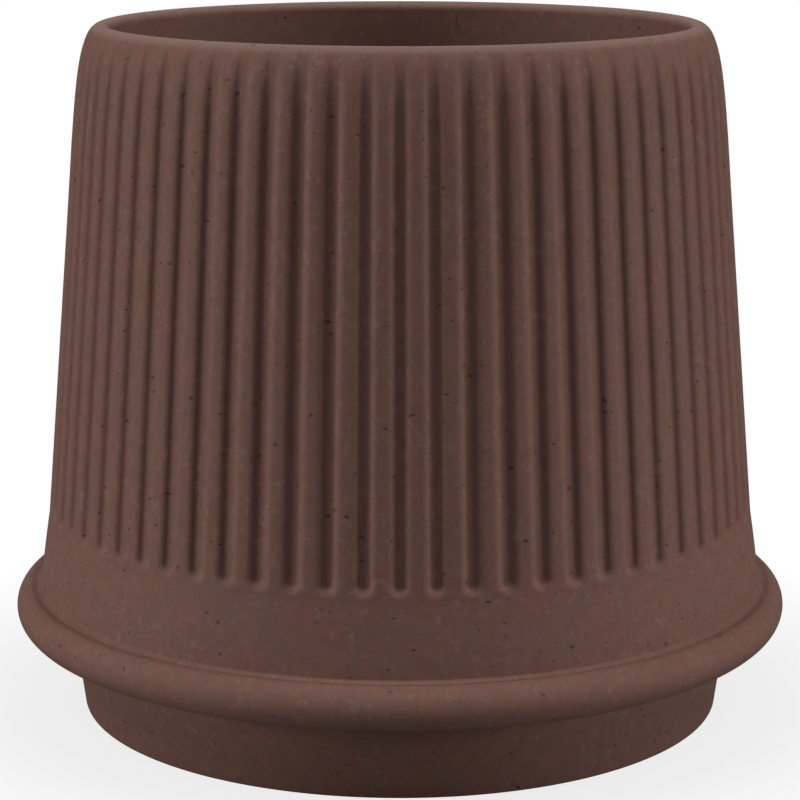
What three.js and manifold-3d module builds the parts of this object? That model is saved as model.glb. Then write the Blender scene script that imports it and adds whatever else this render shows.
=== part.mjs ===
// A fluted clay garden pot that stands on its saucer.
// Millimetres, +Z up. The origin is the centre of the face that the saucer rests on, and -Y is the front.
import * as THREE from "three";
import { mergeVertices } from "three/addons/utils/BufferGeometryUtils.js";
import Module from "manifold-3d";

const wasm = await Module();
wasm.setup();

// Saucer: a dish with a thick round rim, seen from the outside in.
const SAUCER_RADIUS = 100;
const SAUCER_HEIGHT = 32.1;
const BEAD_THICKNESS = 11;
const RIM_OVERHANG = 14.5;
const UNDERSIDE_COVE = 2;
const SIDE_TAPER = 2.5;
const SAUCER_WALL = 9.5;
const SEAT_EDGE = 1.5;
const WELL_DRAFT = 1;
const WELL_CORNER = 6;
const WELL_FLOOR = 8;
const FOOT_EDGE = 0.6;
const FOOT_WIDTH = 11;
const FOOT_RECESS_DEPTH = 1.5;

// Pot: heights are above its own bottom face, which stands on the saucer's seat.
const SEAT_GAP = 0.3;
const POT_HEIGHT = 142.9;
const LIP_INSET = 0.5;
const LIP_THICKNESS = 0.5;
const LIP_COVE = 0.8;
const BAND_HEIGHT = 18;
const BAND_TAPER = 2.15;
const BAND_FLARE = 0.3;
const WALL_TAPER = 8.15;
const SHOULDER_DROP = 29.9;
const SHOULDER_INSET = 8.3;
const SHOULDER_PULL = 19;
const RIM_PULL = 5.4;
const RIM_INNER_ROUNDING = 2;
const RIM_UNDERCUT = 15;
const WALL = 8.5;
const INNER_SHOULDER_DROP = 23.4;
const FLOOR = 9;
const FLOOR_CORNER = 10;
const DRAIN_RADIUS = 9;

// Foot ring under the pot, which drops into the saucer's well and keeps the pot central.
const FOOT_RING_CLEARANCE = 1;
const FOOT_RING_WIDTH = 8;
const FOOT_RING_DROP = 6;
const FOOT_RING_DRAFT = 0.6;

// Flutes: shallow round channels up the wall, which run out where the shoulder turns in.
const FLUTE_COUNT = 68;
const FLUTE_RADIUS = 2.6;
const FLUTE_DEPTH = 1.4;
const FLUTE_START = 1.1;

// Facets
const ROUND_STEPS = FLUTE_COUNT;
const BEAD_STEPS = 8;
const SHOULDER_STEPS = 5;
const RIM_STEPS = 4;
const CORNER_STEPS = 3;
const EDGE_STEPS = 2;
const DRAIN_STEPS = 24;
const FLUTE_SIDES = 10;
const FLUTE_END_STEPS = 2;
const CUT_MARGIN = 5;
const MERGE_TOLERANCE = 1e-4;

const CLAY_COLOUR = 0x6f5046;
const CLAY_ROUGHNESS = 0.9;

// Radii that the saucer and the pot share or hand on to each other
const beadRadius = BEAD_THICKNESS / 2;
const seatRadius = SAUCER_RADIUS - beadRadius;
const sideTopRadius = SAUCER_RADIUS - RIM_OVERHANG;
const wellRadius = sideTopRadius - SAUCER_WALL;
const lipRadius = seatRadius - LIP_INSET;
const bandFootRadius = lipRadius - LIP_COVE;
const bandTopRadius = bandFootRadius - BAND_TAPER;
const shoulderRadius = bandTopRadius - WALL_TAPER;
const rimRadius = shoulderRadius - SHOULDER_INSET;
const shoulderHeight = POT_HEIGHT - SHOULDER_DROP;
const wallLean = WALL_TAPER / (shoulderHeight - BAND_HEIGHT);

// A point of a profile: radius, then height. A profile runs from the axis round to the axis.
const at = (radius, height) => new THREE.Vector2(radius, height);

// Points along an arc about a centre, from one angle to another in degrees, ends included.
function arc(centre, radius, from, to, steps) {
  const points = [];
  for (let i = 0; i <= steps; i += 1) {
    const angle = THREE.MathUtils.degToRad(from + ((to - from) * i) / steps);
    points.push(at(centre.x + radius * Math.cos(angle), centre.y + radius * Math.sin(angle)));
  }
  return points;
}

// Turns a profile about the Z axis.
function turned(profile) {
  return new THREE.LatheGeometry(profile, ROUND_STEPS).rotateX(Math.PI / 2);
}

// A closed geometry as a solid: shared corners merged, and triangles that have no area left out.
function solid(geometry) {
  const bare = new THREE.BufferGeometry();
  bare.setAttribute("position", geometry.getAttribute("position"));
  bare.setIndex(geometry.getIndex());
  const merged = mergeVertices(bare, MERGE_TOLERANCE);
  const index = merged.getIndex().array;
  const corners = [];
  for (let i = 0; i < index.length; i += 3) {
    const [a, b, c] = [index[i], index[i + 1], index[i + 2]];
    if (a !== b && b !== c && c !== a) corners.push(a, b, c);
  }
  const mesh = new wasm.Mesh({
    numProp: 3,
    vertProperties: new Float32Array(merged.getAttribute("position").array),
    triVerts: new Uint32Array(corners),
  });
  return new wasm.Manifold(mesh);
}

// A solid as a named mesh in reddish brown clay.
function piece(name, body) {
  const mesh = body.getMesh();
  const geometry = new THREE.BufferGeometry();
  geometry.setAttribute("position", new THREE.BufferAttribute(mesh.vertProperties, 3));
  geometry.setIndex(new THREE.BufferAttribute(mesh.triVerts, 1));
  geometry.computeVertexNormals();
  const clay = new THREE.MeshStandardMaterial({
    color: CLAY_COLOUR,
    roughness: CLAY_ROUGHNESS,
    metalness: 0,
    flatShading: true,
  });
  const part = new THREE.Mesh(geometry, clay);
  part.name = name;
  return part;
}

// The saucer stands on its foot, and its seat is level with the top of the round rim.
function saucer() {
  const bead = at(seatRadius, SAUCER_HEIGHT - beadRadius);
  const cove = at(sideTopRadius + UNDERSIDE_COVE, bead.y - beadRadius - UNDERSIDE_COVE);
  const seatEdge = at(wellRadius + SEAT_EDGE, SAUCER_HEIGHT - SEAT_EDGE);
  const wellCorner = at(wellRadius - WELL_DRAFT - WELL_CORNER, WELL_FLOOR + WELL_CORNER);
  const footRadius = sideTopRadius - SIDE_TAPER;
  const recessRadius = footRadius - FOOT_WIDTH;
  const profile = [
    at(0, FOOT_RECESS_DEPTH),
    at(recessRadius - FOOT_RECESS_DEPTH, FOOT_RECESS_DEPTH),
    at(recessRadius, 0),
    at(footRadius - FOOT_EDGE, 0),
    at(footRadius, FOOT_EDGE),
    ...arc(cove, UNDERSIDE_COVE, 180, 90, EDGE_STEPS),
    ...arc(bead, beadRadius, -90, 90, BEAD_STEPS),
    ...arc(seatEdge, SEAT_EDGE, 90, 180, EDGE_STEPS),
    ...arc(wellCorner, WELL_CORNER, 0, -90, CORNER_STEPS),
    at(0, WELL_FLOOR),
  ];
  return solid(turned(profile));
}

// Outside radius of the straight, fluted wall at a height above the pot's bottom face.
function wallRadius(height) {
  return bandTopRadius - wallLean * (height - BAND_HEIGHT);
}

// Outline of the pot's outside: foot ring, lip over the saucer's rim, plain band, wall and shoulder.
function outsideOutline() {
  const ringOuter = wellRadius - FOOT_RING_CLEARANCE;
  const ringInner = ringOuter - FOOT_RING_WIDTH;
  const cove = at(lipRadius, LIP_THICKNESS + LIP_COVE);
  const bandMiddle = (cove.y + BAND_HEIGHT) / 2;
  const band = new THREE.QuadraticBezierCurve(
    at(bandFootRadius, cove.y),
    at(wallRadius(bandMiddle) + BAND_FLARE, bandMiddle),
    at(bandTopRadius, BAND_HEIGHT),
  );
  const pullHeight = shoulderHeight + SHOULDER_PULL;
  const shoulder = new THREE.CubicBezierCurve(
    at(shoulderRadius, shoulderHeight),
    at(wallRadius(pullHeight), pullHeight),
    at(rimRadius + RIM_PULL, POT_HEIGHT),
    at(rimRadius, POT_HEIGHT),
  );
  return [
    at(0, 0),
    at(ringInner - FOOT_RING_DRAFT, 0),
    at(ringInner + FOOT_RING_DRAFT, -FOOT_RING_DROP),
    at(ringOuter - FOOT_RING_DRAFT, -FOOT_RING_DROP),
    at(ringOuter, 0),
    at(lipRadius, 0),
    ...arc(cove, LIP_COVE, -90, -180, EDGE_STEPS),
    ...band.getPoints(EDGE_STEPS).slice(1),
    ...shoulder.getPoints(SHOULDER_STEPS),
  ];
}

// Outline of the pot's inside, from the rim down to the floor.
function insideOutline() {
  const rimCentre = at(rimRadius, POT_HEIGHT - RIM_INNER_ROUNDING);
  const rim = arc(rimCentre, RIM_INNER_ROUNDING, 90, 180 + RIM_UNDERCUT, RIM_STEPS);
  const throat = rim[RIM_STEPS];
  const innerShoulder = POT_HEIGHT - INNER_SHOULDER_DROP;
  const middle = (throat.y + innerShoulder) / 2;
  const shoulder = new THREE.QuadraticBezierCurve(
    throat,
    at(wallRadius(middle) - WALL, middle),
    at(wallRadius(innerShoulder) - WALL, innerShoulder),
  );
  const cornerHeight = FLOOR + FLOOR_CORNER;
  const corner = at(wallRadius(cornerHeight) - WALL - FLOOR_CORNER, cornerHeight);
  return [
    ...rim.slice(1),
    ...shoulder.getPoints(EDGE_STEPS).slice(1),
    ...arc(corner, FLOOR_CORNER, 0, -90, CORNER_STEPS),
    at(0, FLOOR),
  ];
}

// A round-ended bar that leans with the wall and cuts one channel. Its lower end rounds off the channel.
function fluteCutter(turn) {
  const start = BAND_HEIGHT + FLUTE_START + FLUTE_RADIUS;
  const lean = Math.atan(wallLean);
  const length = (POT_HEIGHT + CUT_MARGIN - start) / Math.cos(lean);
  const bar = new THREE.CapsuleGeometry(FLUTE_RADIUS, length, FLUTE_END_STEPS, FLUTE_SIDES);
  bar.translate(0, length / 2, 0);
  bar.rotateX(Math.PI / 2);
  bar.translate(0, FLUTE_DEPTH - FLUTE_RADIUS, 0);
  bar.rotateX(-lean);
  bar.translate(0, -wallRadius(start), start);
  bar.rotateZ(turn);
  return solid(bar);
}

function drainCutter() {
  const hole = new THREE.CylinderGeometry(DRAIN_RADIUS, DRAIN_RADIUS, FLOOR + 2 * CUT_MARGIN, DRAIN_STEPS);
  hole.rotateX(Math.PI / 2);
  hole.translate(0, 0, FLOOR / 2);
  return solid(hole);
}

function pot() {
  let body = solid(turned([...outsideOutline(), ...insideOutline()]));
  body = body.subtract(drainCutter());
  for (let i = 0; i < FLUTE_COUNT; i += 1) {
    body = body.subtract(fluteCutter((i * 2 * Math.PI) / FLUTE_COUNT));
  }
  return body;
}

const gardenPot = new THREE.Group();
gardenPot.add(piece("saucer", saucer()));

const potMesh = piece("pot", pot());
potMesh.position.z = SAUCER_HEIGHT + SEAT_GAP;
gardenPot.add(potMesh);

export default gardenPot;
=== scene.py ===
import math

import bpy
import numpy as np
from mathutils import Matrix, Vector


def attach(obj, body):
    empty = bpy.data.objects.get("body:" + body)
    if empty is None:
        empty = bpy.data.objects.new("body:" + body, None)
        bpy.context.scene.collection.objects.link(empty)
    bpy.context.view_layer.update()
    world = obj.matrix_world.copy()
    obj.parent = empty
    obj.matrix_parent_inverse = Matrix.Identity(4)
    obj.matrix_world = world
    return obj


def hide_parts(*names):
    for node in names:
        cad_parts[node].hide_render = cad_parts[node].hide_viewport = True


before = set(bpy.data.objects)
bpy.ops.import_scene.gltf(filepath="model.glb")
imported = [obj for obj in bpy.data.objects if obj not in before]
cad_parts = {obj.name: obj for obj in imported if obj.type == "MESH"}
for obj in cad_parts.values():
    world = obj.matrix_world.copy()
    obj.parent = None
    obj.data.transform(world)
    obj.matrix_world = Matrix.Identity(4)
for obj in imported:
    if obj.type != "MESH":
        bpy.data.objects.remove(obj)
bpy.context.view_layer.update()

MM = 0.001

# Saucer
SAUCER_TOP = 32.1
BEAD_RADIUS = 5.5
BEAD_CENTRE = (94.5, 26.6)
SIDE_TOP_RADIUS = 85.5
SIDE_FOOT_RADIUS = 83.0
UNDERSIDE_COVE = 2.0
WELL_RADIUS = 76.0
WELL_FLOOR = 8.0
WELL_CORNER = 6.0
SEAT_EDGE = 1.5
FOOT_RECESS = (72.0, 1.5)

# A soft groove in the top of the saucer's rim, which the pot's lip runs down into
GROOVE_RADIUS = 95.05
GROOVE_HALF_WIDTH = 1.6
GROOVE_DEPTH = 0.28

# Pot. Pairs are a radius and a height. The lip's slopes are those at its edge and its inner end, in degrees.
POT_BOTTOM = 32.12
LIP_EDGE = (94.75, 31.865)
LIP_UNDERSIDE = ((93.6, 32.12), (94.0, 32.053), (94.4, 31.947))
LIP_ROUNDING = 2.4
LIP_SLOPE = (42.0, 20.0)
LIP_COVE = 0.65
BAND_MIDDLE = (92.43, 42.05)
BAND_TOP = (91.05, 50.4)
WALL_LEAN = 0.0858
SHOULDER = ((82.93, 145.45), (81.26, 164.41), (79.92, 175.34), (74.88, 175.34))
RIM_ROUNDING = 2.0
RIM_UNDERCUT = 15.0
INNER_SHOULDER = (73.87, 151.9)
INNER_SHOULDER_SWELL = 1.6
FLOOR_TOP = 41.4
FLOOR_CORNER = (72.2, 51.4, 10.0)
DRAIN_RADIUS = 9.0
DRAIN_ROUNDING = 1.0

# The ring under the pot: its inner and outer radius, and the height of its lower face
FOOT_RING = (67.0, 75.0, 26.4)
FOOT_RING_DRAFT = 0.6
FOOT_RING_ROUNDING = 0.8
FOOT_RING_FILLET = 1.0

# Flutes: a channel has a flat bottom, sloping sides and broad round edges, and grows shallow up the shoulder.
FLUTE_COUNT = 68
FLUTE_DEPTH = 1.4
FLUTE_FLAT = 0.5
FLUTE_BOTTOM_RADIUS = 1.3
FLUTE_EDGE_RADIUS = 2.2
FLUTE_SLOPE = 50.0
FLUTE_END = 54.1

# The flutes' round lower ends: how far below them their first ring lies, the least share of a flute's width
# there, squared, and how far two further rings lie above
FLUTE_END_MARGIN = 0.1
FLUTE_END_SHARE = 0.1
FLUTE_END_RINGS = (-1.4, -4.0)

# The height where the flutes start to grow shallow, how far past their last ring they would end, and the
# share of the shoulder's curve that has them
FLUTE_FADE_START = 157.0
FLUTE_FADE_BEYOND = 1.0
FLUTED_SHOULDER = 0.86

# Columns of points round the saucer, and the one beside a flute's ridge that plain parts of the pot keep
SAUCER_COLUMNS = 272
KEPT_COLUMN = 3

TAU = 2 * math.pi


def arc(centre, radius, start, stop, steps):
    """Points (radius, height) along an arc, from one angle to another in degrees, ends included."""
    angles = np.radians(np.linspace(start, stop, steps + 1))
    return np.column_stack([centre[0] + radius * np.cos(angles), centre[1] + radius * np.sin(angles)])


def bezier(points, shares):
    """Points of a Bezier curve at the given shares of its run from first to last point."""
    found = np.zeros((len(shares), 2))
    degree = len(points) - 1
    for i, p in enumerate(points):
        weight = math.comb(degree, i) * shares**i * (1 - shares) ** (degree - i)
        found += weight[:, None] * np.array(p)
    return found


def line(start, stop, steps):
    """Points along a straight line, ends included."""
    return np.linspace(start, stop, steps + 1)


def wall_radius(height):
    """Radius of the straight wall, which the flutes follow even where the shoulder turns in."""
    return BAND_TOP[0] - WALL_LEAN * (height - BAND_TOP[1])


SLOPE = math.radians(FLUTE_SLOPE)
SLOPE_DROP = FLUTE_DEPTH - (FLUTE_BOTTOM_RADIUS + FLUTE_EDGE_RADIUS) * (1 - math.cos(SLOPE))
FLUTE_TURN_IN = FLUTE_FLAT + FLUTE_BOTTOM_RADIUS * math.sin(SLOPE)
FLUTE_TURN_OUT = FLUTE_TURN_IN + SLOPE_DROP / math.tan(SLOPE)
FLUTE_HALF_WIDTH = FLUTE_TURN_OUT + FLUTE_EDGE_RADIUS * math.sin(SLOPE)


def flute_inset(offset):
    """Depth of a flute at an offset from its middle."""
    inner = np.clip(offset - FLUTE_FLAT, 0, FLUTE_TURN_IN - FLUTE_FLAT)
    bottom = FLUTE_DEPTH - FLUTE_BOTTOM_RADIUS + np.sqrt(FLUTE_BOTTOM_RADIUS**2 - inner**2)
    outer = np.clip(FLUTE_HALF_WIDTH - offset, 0, FLUTE_HALF_WIDTH - FLUTE_TURN_OUT)
    edge = FLUTE_EDGE_RADIUS - np.sqrt(FLUTE_EDGE_RADIUS**2 - outer**2)
    side = np.clip(FLUTE_TURN_OUT - offset, 0, FLUTE_TURN_OUT - FLUTE_TURN_IN) * math.tan(SLOPE)
    return np.where(offset < FLUTE_TURN_IN, bottom, edge + side)


class Skin:
    """A closed turned surface, made ring by ring. Each ring is an array of angles, radii and heights."""

    def __init__(self):
        self.points = []
        self.faces = []
        self.first = None
        self.last = None

    def ring(self, angles, radii, height):
        start = len(self.points)
        radii = np.broadcast_to(radii, np.shape(angles))
        for angle, radius in zip(angles, radii):
            self.points.append((radius * math.sin(angle), -radius * math.cos(angle), height))
        new = list(range(start, len(self.points)))
        if self.last is not None:
            self.join(self.last, new)
        self.last = new
        self.first = self.first or new
        return new

    def join(self, a, b):
        """Faces between two rings that have as many points, or where one is a single point."""
        if len(a) == len(b):
            for i in range(len(a)):
                j = (i + 1) % len(a)
                self.faces.append((a[i], a[j], b[j], b[i]))
        elif len(a) == 1:
            for i in range(len(b)):
                self.faces.append((a[0], b[(i + 1) % len(b)], b[i]))
        elif len(b) == 1:
            for i in range(len(a)):
                self.faces.append((a[i], a[(i + 1) % len(a)], b[0]))

    def fan(self, coarse, fine, picks, upward):
        """Faces between a coarse ring and a fine one. Coarse point i stands at fine point picks[i]."""
        for i in range(len(coarse)):
            j = (i + 1) % len(coarse)
            span = (picks[j] - picks[i]) % len(fine)
            run = [fine[(picks[i] + k) % len(fine)] for k in range(span + 1)]
            middle = span // 2
            made = [(coarse[i], run[k + 1], run[k]) for k in range(middle)]
            made.append((coarse[i], coarse[j], run[middle]))
            made += [(coarse[j], run[k + 1], run[k]) for k in range(middle, span)]
            self.faces += made if upward else [tuple(reversed(f)) for f in made]

    def profile(self, angles, points):
        for radius, height in points:
            self.ring(angles if radius > 0 else [0.0], radius, height)

    def build(self, name, material):
        if len(self.first) > 1:
            self.join(self.last, self.first)
        mesh = bpy.data.meshes.new(name)
        mesh.from_pydata((np.array(self.points) * MM).tolist(), [], self.faces)
        mesh.polygons.foreach_set("use_smooth", [True] * len(mesh.polygons))
        mesh.materials.append(material)
        mesh.update()
        made = bpy.data.objects.new(name, mesh)
        bpy.context.scene.collection.objects.link(made)
        return made


def pot_skin():
    """The pot's surface, from the lip up the outside, over the rim, down inside, out of the hole and back."""
    half_pitch = math.pi / FLUTE_COUNT
    bottom = FLUTE_FLAT + FLUTE_BOTTOM_RADIUS * np.sin(SLOPE * np.linspace(0, 1, 3))
    edge = FLUTE_HALF_WIDTH - FLUTE_EDGE_RADIUS * np.sin(SLOPE * np.linspace(1, 0, 5))
    offsets = np.array([0, *bottom, *edge])
    middle = len(offsets)
    fine_count = 2 * middle
    kept = [0, KEPT_COLUMN, middle, fine_count - KEPT_COLUMN]
    picks = (np.arange(FLUTE_COUNT)[:, None] * fine_count + kept).ravel()

    def columns(radius, height):
        """Angles round the pot that follow the flutes, and the offset of each from its flute's middle."""
        below = max(FLUTE_END - height, 0)
        share = max(1 - (below / FLUTE_HALF_WIDTH) ** 2, FLUTE_END_SHARE) ** 0.5
        near = offsets * share
        one = np.array([-radius * half_pitch, *-near[:0:-1], *near])
        middles = np.arange(FLUTE_COUNT) * 2 * half_pitch
        return (middles[:, None] + one / radius).ravel(), np.tile(np.abs(one), FLUTE_COUNT)

    def fluted(radius, height, fade=1.0):
        angles, offset = columns(radius, height)
        below = max(FLUTE_END - height, 0)
        return skin.ring(angles, radius - fade * flute_inset(np.hypot(offset, below)), height), angles

    skin = Skin()
    steep, gentle = LIP_SLOPE
    corner = math.radians(steep)
    lip_centre = (
        LIP_EDGE[0] - LIP_ROUNDING * math.sin(corner),
        LIP_EDGE[1] - LIP_ROUNDING * math.cos(corner),
    )
    lip = arc(lip_centre, LIP_ROUNDING, 90 - steep, 90 - gentle, 6)
    turn = math.radians(gentle)
    cove_centre = (lip[-1][0] + LIP_COVE * math.sin(turn), lip[-1][1] + LIP_COVE * math.cos(turn))
    cove = arc(cove_centre, LIP_COVE, -90 - gentle, -178, 7)[1:]
    band = bezier([cove[-1], BAND_MIDDLE, BAND_TOP], np.linspace(0, 1, 9))[1:]

    halfway = (offsets[1:] + offsets[:-1]) / 2
    end_offsets = np.sort(np.r_[FLUTE_HALF_WIDTH + FLUTE_END_MARGIN, offsets, halfway, FLUTE_END_RINGS])[::-1]
    low = FLUTE_END - end_offsets[0]
    angles = columns(wall_radius(low), low)[0][picks]
    skin.profile(angles, [*lip, *cove, *band])
    plain = skin.last
    skin.last = None
    skin.fan(plain, fluted(wall_radius(low), low)[0], picks, True)
    for height in FLUTE_END - end_offsets[1:]:
        fluted(wall_radius(height), height)
    for height in np.linspace(FLUTE_END - end_offsets[-1], SHOULDER[0][1], 9)[1:-1]:
        fluted(wall_radius(height), height)

    shoulder = bezier(SHOULDER, np.r_[np.linspace(0, 0.3, 5), np.linspace(0.3, FLUTED_SHOULDER, 20)[1:]])
    run = np.r_[0, np.cumsum(np.hypot(*np.diff(shoulder, axis=0).T))]
    start = np.interp(FLUTE_FADE_START, shoulder[:, 1], run)
    stop = run[-1] + FLUTE_FADE_BEYOND
    fades = np.cos(np.pi / 2 * np.clip((run - start) / (stop - start), 0, 1))
    for (radius, height), fade in zip(shoulder, fades):
        ring, angles = fluted(radius, height, fade)
    angles = angles[picks]
    rim_end = bezier(SHOULDER, np.linspace(FLUTED_SHOULDER, 1, 7)[1:])
    skin.last = None
    skin.fan(skin.ring(angles, *rim_end[0]), ring, picks, False)

    rim_centre = (SHOULDER[3][0], SHOULDER[3][1] - RIM_ROUNDING)
    rim = arc(rim_centre, RIM_ROUNDING, 90, 180 + RIM_UNDERCUT, 12)
    inner_middle = (rim[-1][0] + INNER_SHOULDER_SWELL, (rim[-1][1] + INNER_SHOULDER[1]) / 2)
    inner = bezier([rim[-1], inner_middle, INNER_SHOULDER], np.linspace(0, 1, 9))
    corner = arc(FLOOR_CORNER[:2], FLOOR_CORNER[2], 0, -90, 8)
    hole_edge = DRAIN_RADIUS + DRAIN_ROUNDING
    hole_top = arc((hole_edge, FLOOR_TOP - DRAIN_ROUNDING), DRAIN_ROUNDING, 90, 180, 4)
    hole_bottom = arc((hole_edge, POT_BOTTOM + DRAIN_ROUNDING), DRAIN_ROUNDING, 180, 270, 4)
    inner_ring, outer_ring, ring_bottom = FOOT_RING
    inset = FOOT_RING_DRAFT + FOOT_RING_ROUNDING
    low_edge = ring_bottom + FOOT_RING_ROUNDING
    outer_fillet = (outer_ring + FOOT_RING_ROUNDING, POT_BOTTOM - FOOT_RING_ROUNDING)
    inner_fillet = (inner_ring - 2 * FOOT_RING_FILLET, POT_BOTTOM - FOOT_RING_FILLET)
    foot = [
        *arc(inner_fillet, FOOT_RING_FILLET, 90, 10, 4),
        *arc((inner_ring + inset, low_edge), FOOT_RING_ROUNDING, 190, 270, 4),
        *arc((outer_ring - inset, low_edge), FOOT_RING_ROUNDING, -90, -10, 4),
        *arc(outer_fillet, FOOT_RING_ROUNDING, 170, 90, 4),
    ]
    inside = [
        *rim_end[1:],
        *rim[1:],
        *inner[1:],
        *line(inner[-1], corner[0], 6)[1:],
        *corner[1:],
        *line(corner[-1], hole_top[0], 5)[1:],
        *hole_top[1:],
        *hole_bottom,
        *line(hole_bottom[-1], foot[0], 4)[1:],
        *foot[1:],
        *line(foot[-1], LIP_UNDERSIDE[0], 3)[1:],
        *LIP_UNDERSIDE[1:],
    ]
    skin.profile(angles, inside)
    return skin


def saucer_skin():
    """The saucer's surface, from the middle underneath, out over the bead and in across the well."""
    recess_radius, recess_depth = FOOT_RECESS
    side_foot = (SIDE_FOOT_RADIUS, 0.4)
    cove = (SIDE_TOP_RADIUS + UNDERSIDE_COVE, BEAD_CENTRE[1] - BEAD_RADIUS - UNDERSIDE_COVE)
    side_top = (SIDE_TOP_RADIUS, cove[1])
    seat_edge = (WELL_RADIUS + SEAT_EDGE, SAUCER_TOP - SEAT_EDGE)
    well_corner = (WELL_RADIUS - 1 - WELL_CORNER, WELL_FLOOR + WELL_CORNER)
    crown = arc(BEAD_CENTRE, BEAD_RADIUS, 73, 90, 17)
    inner_crown = line(crown[-1], (GROOVE_RADIUS - GROOVE_HALF_WIDTH, SAUCER_TOP), 4)
    bead = np.vstack([arc(BEAD_CENTRE, BEAD_RADIUS, -90, 71, 28), crown, inner_crown[1:]])
    reach = np.clip(np.abs(bead[:, 0] - GROOVE_RADIUS) / GROOVE_HALF_WIDTH, 0, 1)
    groove = GROOVE_DEPTH * np.cos(np.pi / 2 * reach) ** 2
    bead[:, 1] -= np.where(bead[:, 1] > BEAD_CENTRE[1], groove, 0)
    seat = arc(seat_edge, SEAT_EDGE, 90, 180, 6)
    corner = arc(well_corner, WELL_CORNER, 0, -90, 8)
    skin = Skin()
    angles = np.arange(SAUCER_COLUMNS) * TAU / SAUCER_COLUMNS
    skin.profile(
        angles,
        [
            (0, recess_depth),
            *line((10, recess_depth), (recess_radius - 2.2, recess_depth), 4),
            *line((recess_radius - 1.2, recess_depth - 0.3), (recess_radius - 0.4, 0.3), 2),
            (recess_radius + 0.4, 0),
            (SIDE_FOOT_RADIUS - 0.4, 0),
            (SIDE_FOOT_RADIUS - 0.1, 0.1),
            *line(side_foot, side_top, 8),
            *arc(cove, UNDERSIDE_COVE, 180, 90, 8)[1:],
            *line((cove[0], cove[1] + UNDERSIDE_COVE), bead[0], 3)[1:],
            *bead[1:],
            *line(bead[-1], seat[0], 5)[1:],
            *seat[1:],
            *line(seat[-1], corner[0], 4)[1:],
            *corner[1:],
            *line(corner[-1], (10, WELL_FLOOR), 5)[1:],
            (0, WELL_FLOOR),
        ],
    )
    return skin


class Nodes:
    """Adds nodes to a tree. An input is a number, a colour or another node's output."""

    def __init__(self, tree):
        self.tree = tree
        tree.nodes.clear()

    def add(self, kind, inputs=None, **settings):
        made = self.tree.nodes.new(kind)
        for key, value in settings.items():
            setattr(made, key, value)
        for key, value in (inputs or {}).items():
            socket = made.inputs[key]
            if isinstance(value, bpy.types.NodeSocket):
                self.tree.links.new(value, socket)
            else:
                socket.default_value = value
        return made

    def math(self, operation, *values):
        return self.add("ShaderNodeMath", dict(enumerate(values)), operation=operation).outputs[0]

    def span(self, value, low, high, start=0.0, stop=1.0):
        """A value between low and high, moved smoothly to between start and stop."""
        inputs = {"Value": value, "From Min": low, "From Max": high, "To Min": start, "To Max": stop}
        return self.add("ShaderNodeMapRange", inputs, interpolation_type="SMOOTHSTEP").outputs[0]

    def mix(self, share, first, second):
        """Two colours mixed by a share."""
        made = self.add("ShaderNodeMix", data_type="RGBA")
        for socket, value in zip((made.inputs[0], made.inputs[6], made.inputs[7]), (share, first, second)):
            if isinstance(value, bpy.types.NodeSocket):
                self.tree.links.new(value, socket)
            else:
                socket.default_value = value
        return made.outputs[2]

    def place(self, vector, turn=(0, 0, 0), scale=(1, 1, 1), shift=(0, 0, 0)):
        inputs = {"Vector": vector, "Location": shift, "Rotation": turn, "Scale": scale}
        return self.add("ShaderNodeMapping", inputs).outputs[0]

    def noise(self, vector, scale, detail=2.0, roughness=0.5):
        inputs = {"Vector": vector, "Scale": scale, "Detail": detail, "Roughness": roughness}
        return self.add("ShaderNodeTexNoise", inputs).outputs[0]

    def spots(self, vector, scale):
        """Distance to the nearest of scattered points, and a random value for each point."""
        found = self.add("ShaderNodeTexVoronoi", {"Vector": vector, "Scale": scale})
        value = self.add("ShaderNodeSeparateColor", {0: found.outputs["Color"]})
        return found.outputs["Distance"], value.outputs[0]


RED_BROWN = (0.169, 0.0825, 0.0635, 1)
GREY_BROWN = (0.156, 0.086, 0.068, 1)
# The pale colour is that of the flakes, and also of the painted sheen on the rim's top.
PALE_FLAKE_AND_SHEEN = (0.225, 0.146, 0.122, 1)
DARK_PIT = (0.03, 0.025, 0.021, 1)

# Unglazed clay has little shine.
SHINE = 0.1

# The rim's top is painted pale, a painted sheen that stands in for the highlight light gives it there: the
# heights where that starts and is full, and its share at each.
RIM_PAINTED_SHEEN = (173.2, 175.0, 0.0, 0.68)


def flakes(n, mm):
    """Ragged pale flakes of a few millimetres, thicker in some places than in others."""
    ragged = n.span(n.noise(mm, 0.5, 6, 0.7), 0.52, 0.66)
    thick = n.span(n.noise(mm, 0.07, 2, 0.5), 0.38, 0.66, 0.17, 0.5)
    return n.math("MULTIPLY", ragged, thick)


def pits(n, mm):
    """Dark pits up to a millimetre long, which lie in several directions, some deeper than others."""
    found = None
    for turn, shift in (((0, 0, 0), 0), ((0, 1.3, 0.5), 17), ((0, 2.3, 1.4), 43), ((0, 0.6, 2.5), 71)):
        stretched = n.place(mm, turn=turn, scale=(0.5, 1, 1), shift=(shift, shift, 0))
        distance, chance = n.spots(stretched, 0.25)
        reach = n.math("MULTIPLY_ADD", chance, 0.07, 0.02)
        edge = n.math("SUBTRACT", distance, reach)
        deep = n.math("MULTIPLY", n.span(edge, -0.03, 0.03, 1, 0), n.span(chance, 0.35, 1, 0.3, 1))
        found = deep if found is None else n.math("MAXIMUM", found, deep)
    return found


def fibres(n, mm):
    """Short dark threads in a few directions."""
    found = None
    for turn, shift in (((0, 0.3, 0), 5), ((0, 1.2, 0.7), 31), ((0, 2.2, 1.9), 67)):
        stretched = n.place(mm, turn=turn, scale=(0.14, 1, 1), shift=(shift, 0, shift))
        distance, chance = n.spots(stretched, 0.36)
        thread = n.math("MULTIPLY", n.span(distance, 0.02, 0.05, 1, 0), n.span(chance, 0.75, 0.95))
        found = thread if found is None else n.math("MAXIMUM", found, thread)
    return found


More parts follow.
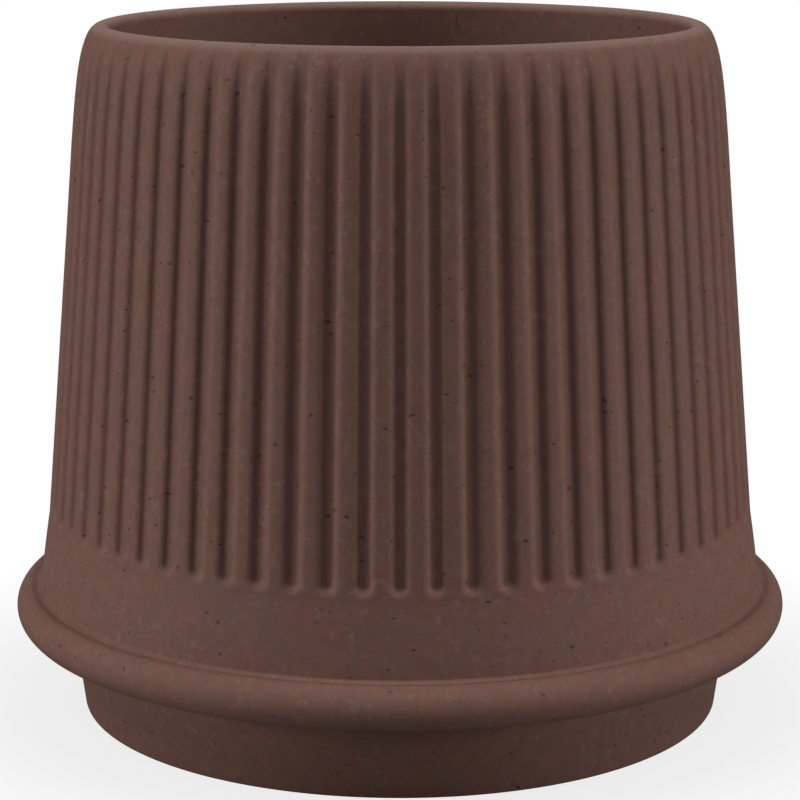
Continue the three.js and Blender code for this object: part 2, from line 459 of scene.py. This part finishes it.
def hair_cracks(n, mm):
    """Rare, long and wandering hairlines."""
    level = n.noise(n.place(mm, shift=(9, 4, 27)), 0.045, 2, 0.5)
    near = n.math("ABSOLUTE", n.math("SUBTRACT", level, 0.5))
    rare = n.span(n.noise(n.place(mm, shift=(3, 51, 8)), 0.06, 1, 0.5), 0.72, 0.75)
    return n.math("MULTIPLY", n.span(near, 0.002, 0.006, 1, 0), rare)


def clay(name, shift):
    """Unglazed clay, mottled red and grey brown, with a fine grain, flakes, pits, fibres and hairlines, and a
    painted sheen on the rim's top.
    """
    material = bpy.data.materials.new(name)
    material.use_nodes = True
    n = Nodes(material.node_tree)
    place = n.add("ShaderNodeTexCoord").outputs["Object"]
    mm = n.place(place, scale=(1000, 1000, 1000), shift=shift)
    wander = n.add("ShaderNodeTexNoise", {"Vector": mm, "Scale": 0.8, "Detail": 3.0}).outputs["Color"]
    offset = n.add("ShaderNodeVectorMath", {0: wander, 1: (0.5, 0.5, 0.5)}, operation="SUBTRACT").outputs[0]
    shifted = n.add("ShaderNodeVectorMath", {0: offset, 1: (1.6, 1.6, 1.6), 2: mm}, operation="MULTIPLY_ADD")
    uneven = shifted.outputs[0]

    clouds = n.noise(mm, 0.05, 3, 0.55)
    mottle = n.noise(n.place(mm, scale=(1, 1, 0.6)), 0.33, 5, 0.65)
    patches = n.math("ADD", n.math("MULTIPLY", clouds, 0.2), n.math("MULTIPLY", mottle, 0.8))
    colour = n.mix(n.span(patches, 0.4, 0.62), RED_BROWN, GREY_BROWN)
    colour = n.mix(flakes(n, uneven), colour, PALE_FLAKE_AND_SHEEN)

    grain = n.noise(mm, 1.5, 5, 0.75)
    streaks = n.noise(n.place(mm, scale=(1, 1, 0.06)), 1.1, 2, 0.6)
    smudges = n.noise(n.place(mm, shift=(7, 90, 4)), 0.28, 3, 0.6)
    tone = n.math("ADD", n.span(grain, 0.3, 0.7, 0.465, 0.545), n.span(streaks, 0.3, 0.7, 0.487, 0.503))
    tone = n.math("ADD", tone, n.span(smudges, 0.35, 0.65, -0.042, 0.042))
    value = n.add("ShaderNodeHueSaturation", {"Color": colour, "Value": tone}).outputs[0]

    level = n.add("ShaderNodeSeparateXYZ", {0: mm}).outputs["Z"]
    # Painted sheen: the rim's top is mixed towards the pale colour by height.
    value = n.mix(n.span(level, *RIM_PAINTED_SHEEN), value, PALE_FLAKE_AND_SHEEN)

    holes = pits(n, uneven)
    threads = n.math("MAXIMUM", fibres(n, uneven), hair_cracks(n, mm))
    dark = n.math("MAXIMUM", holes, n.math("MULTIPLY", threads, 0.7))
    value = n.mix(n.math("MULTIPLY", dark, 0.62), value, DARK_PIT)

    height = n.math("MULTIPLY", grain, 0.05)
    height = n.math("MULTIPLY_ADD", mottle, 0.06, height)
    height = n.math("MULTIPLY_ADD", streaks, 0.02, height)
    height = n.math("MULTIPLY_ADD", dark, -0.15, height)
    bump = n.add("ShaderNodeBump", {"Height": height, "Strength": 0.8, "Distance": MM}).outputs[0]

    roughness = n.span(n.noise(mm, 0.4, 3, 0.6), 0.35, 0.65, 0.62, 0.76)
    surface = n.add(
        "ShaderNodeBsdfPrincipled",
        {"Base Color": value, "Roughness": roughness, "Normal": bump, "Specular IOR Level": SHINE},
    )
    n.add("ShaderNodeOutputMaterial", {"Surface": surface.outputs[0]})
    return material


def seen_directly(n):
    """One for what the camera sees, and zero for light."""
    return n.add("ShaderNodeLightPath").outputs["Is Camera Ray"]


# Floor, in metres. Its grey: two distances from the middle, and the grey at each. Its whiteness: two
# distances, and the share of plain white that the camera sees at each.
FLOOR_SIZE = 12.0
FLOOR_GREY = (0.15, 0.4, 0.28, 0.09)
FLOOR_WHITENESS = (0.085, 0.17, 0.82, 1.0)
WHITE = (1, 1, 1, 1)


def studio_floor():
    """A pale floor that keeps a soft shadow near the object and is white further off."""
    corner = FLOOR_SIZE / 2
    mesh = bpy.data.meshes.new("studio_floor")
    corners = [(-corner, -corner, 0), (corner, -corner, 0), (corner, corner, 0), (-corner, corner, 0)]
    mesh.from_pydata(corners, [], [(0, 1, 2, 3)])
    floor = bpy.data.objects.new("studio_floor", mesh)
    bpy.context.scene.collection.objects.link(floor)
    material = bpy.data.materials.new("studio_floor")
    material.use_nodes = True
    n = Nodes(material.node_tree)
    place = n.add("ShaderNodeTexCoord").outputs["Object"]
    away = n.add("ShaderNodeVectorMath", {0: place}, operation="LENGTH").outputs["Value"]
    share = n.math("MULTIPLY", seen_directly(n), n.span(away, *FLOOR_WHITENESS))
    plain = n.add("ShaderNodeBsdfDiffuse", {"Color": n.span(away, *FLOOR_GREY)}).outputs[0]
    white = n.add("ShaderNodeEmission", {"Color": WHITE, "Strength": 1.0}).outputs[0]
    mixed = n.add("ShaderNodeMixShader", {0: share, 1: plain, 2: white}).outputs[0]
    n.add("ShaderNodeOutputMaterial", {"Surface": mixed})
    mesh.materials.append(material)


def studio_world():
    """A surround that is white for the camera and dark for light, which comes from the softboxes alone."""
    world = bpy.data.worlds.new("studio")
    bpy.context.scene.world = world
    world.use_nodes = True
    n = Nodes(world.node_tree)
    back = n.add("ShaderNodeBackground", {"Color": WHITE, "Strength": seen_directly(n)}).outputs[0]
    n.add("ShaderNodeOutputWorld", {"Surface": back})


# Softboxes: azimuth from the front towards the right and elevation in degrees, then metres and watts
SOFTBOXES = {
    "left_high": (-67, 54, 2.2, 1.3, 0.7, 21.0),
    "left_low": (-78, 8, 2.2, 0.7, 0.7, 24.0),
    "right_high": (71, 54, 2.2, 1.3, 0.7, 19.5),
    "right_low": (77, 8, 2.2, 0.7, 0.7, 22.5),
    "front": (0, 45, 2.2, 0.7, 0.7, 2.0),
    "top": (0, 85, 2.2, 0.7, 0.7, 5.0),
    "back": (180, 35, 2.2, 0.7, 0.7, 6.2),
}
SOFTBOX_AIM = Vector((0, 0, 0.09))


def softbox(name, azimuth, elevation, distance, width, height, power):
    turn, rise = math.radians(azimuth), math.radians(elevation)
    out = Vector((math.sin(turn) * math.cos(rise), -math.cos(turn) * math.cos(rise), math.sin(rise)))
    lamp = bpy.data.lights.new(name, "AREA")
    lamp.shape = "RECTANGLE"
    lamp.size = width
    lamp.size_y = height
    lamp.energy = power
    made = bpy.data.objects.new(name, lamp)
    made.location = SOFTBOX_AIM + out * distance
    made.rotation_euler = (-out).to_track_quat("-Z", "Y").to_euler()
    bpy.context.scene.collection.objects.link(made)


# Camera: where it stands, how far it looks down, in radians, and its lens and sensor width in millimetres
CAMERA_PLACE = (0, -0.66284, 0.22460)
CAMERA_PITCH = 0.21815
LENS = 117.6
SENSOR = 36.0


def camera():
    data = bpy.data.cameras.new("camera")
    data.lens = LENS
    data.sensor_width = SENSOR
    data.clip_start = 0.01
    made = bpy.data.objects.new("camera", data)
    made.location = CAMERA_PLACE
    made.rotation_euler = (math.pi / 2 - CAMERA_PITCH, 0, 0)
    bpy.context.scene.collection.objects.link(made)
    bpy.context.scene.camera = made


camera()
pot = pot_skin().build("fluted_pot", clay("pot_clay", (0, 0, 0)))
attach(pot, "pot")
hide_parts("pot")
saucer = saucer_skin().build("pot_saucer", clay("saucer_clay", (140, 60, 35)))
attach(saucer, "saucer")
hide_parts("saucer")
studio_floor()
studio_world()
for box_name, box_settings in SOFTBOXES.items():
    softbox(box_name, *box_settings)
bpy.context.scene.view_settings.view_transform = "Standard"
